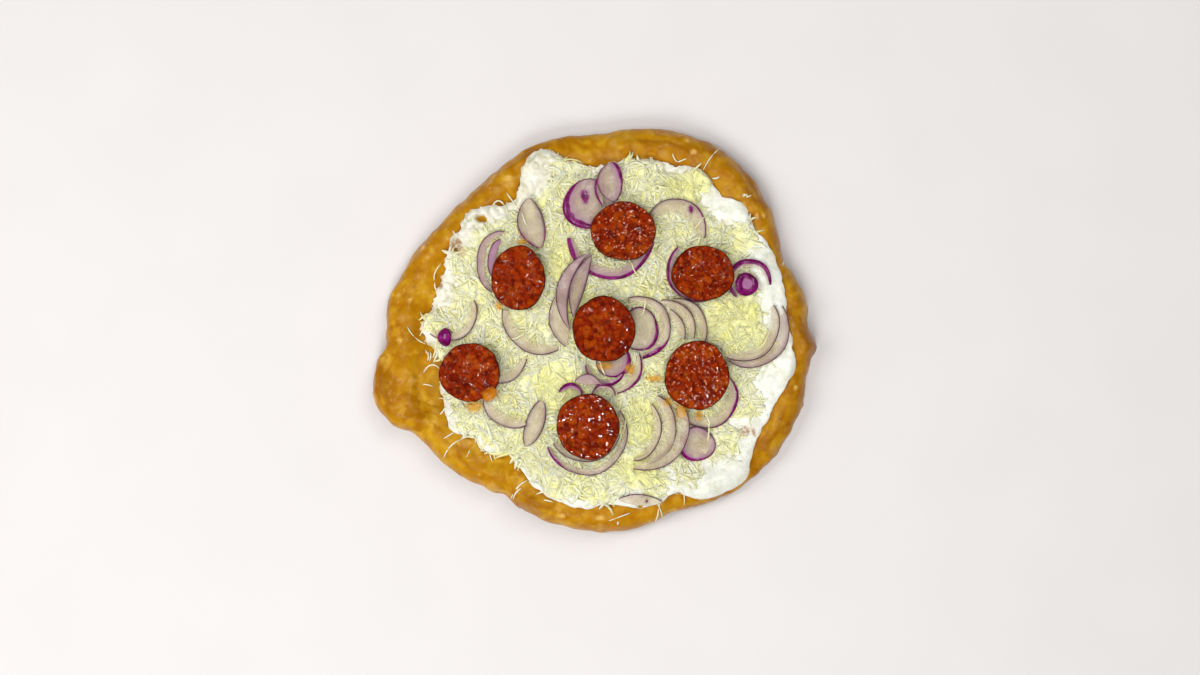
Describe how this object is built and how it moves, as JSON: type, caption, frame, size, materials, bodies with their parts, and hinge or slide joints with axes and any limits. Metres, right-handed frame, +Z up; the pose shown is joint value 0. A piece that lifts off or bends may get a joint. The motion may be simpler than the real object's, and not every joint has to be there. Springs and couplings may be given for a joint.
{
  "type": "langos",
  "caption": "Round fried flatbread with an uneven raised rim, covered with sour cream, grated cheese, thin red onion pieces and round sausage slices.",
  "frame": {"origin": "on the flat underside of the bread, under the middle of its outline", "axes": "+Z up out of the toppings, +X along the longer way across the bread, +Y across it"},
  "size_m": [0.2317, 0.2101, 0.0273],
  "materials": {
    "fried_dough": "golden brown fried crust with a faint oily sheen",
    "sour_cream": "smooth wet white cream",
    "grated_cheese": "pale yellow shreds, satin",
    "red_onion": "wet translucent pinkish flesh with a dark purple skin line",
    "sausage": "oily red-brown coarse cut face"
  },
  "bodies": {
    "root": {"bread": "fried_dough", "sour_cream": "sour_cream", "grated_cheese": "grated_cheese", "onion_top_disc": "red_onion", "onion_top_sliver": "red_onion", "onion_top_leaf": "red_onion", "onion_upper_left_leaf": "red_onion", "onion_left_outer": "red_onion", "onion_left_inner": "red_onion", "onion_far_left": "red_onion", "onion_far_left_core": "red_onion", "onion_wide_left": "red_onion", "onion_centre_left_leaf": "red_onion", "onion_under_top_slice": "red_onion", "onion_tall_crescent": "red_onion", "onion_tall_leaf": "red_onion", "onion_right_of_top_slice": "red_onion", "onion_under_right_slice": "red_onion", "onion_far_right_ring": "red_onion", "onion_far_right_core": "red_onion", "onion_centre_ring": "red_onion", "onion_centre_slice": "red_onion", "onion_fan_upper_outer": "red_onion", "onion_fan_upper_middle": "red_onion", "onion_fan_upper_inner": "red_onion", "onion_right_sweep_outer": "red_onion", "onion_right_sweep_inner": "red_onion", "onion_under_lower_right_slice": "red_onion", "onion_lower_right_disc": "red_onion", "onion_fan_lower_first": "red_onion", "onion_fan_lower_second": "red_onion", "onion_fan_lower_third": "red_onion", "onion_lower_outer": "red_onion", "onion_lower_inner": "red_onion", "onion_lower_left_leaf": "red_onion", "onion_left_low_ring": "red_onion", "onion_left_middle_ring": "red_onion", "onion_below_centre_slice": "red_onion", "onion_below_centre_ring": "red_onion", "onion_below_centre_outer": "red_onion", "onion_small_left": "red_onion", "onion_small_right": "red_onion", "onion_small_flat": "red_onion", "onion_bottom_sliver": "red_onion", "sausage_slice_top": "sausage", "sausage_slice_upper_left": "sausage", "sausage_slice_upper_right": "sausage", "sausage_slice_centre": "sausage", "sausage_slice_left": "sausage", "sausage_slice_lower_right": "sausage", "sausage_slice_bottom": "sausage"}
  },
  "joints": []
}
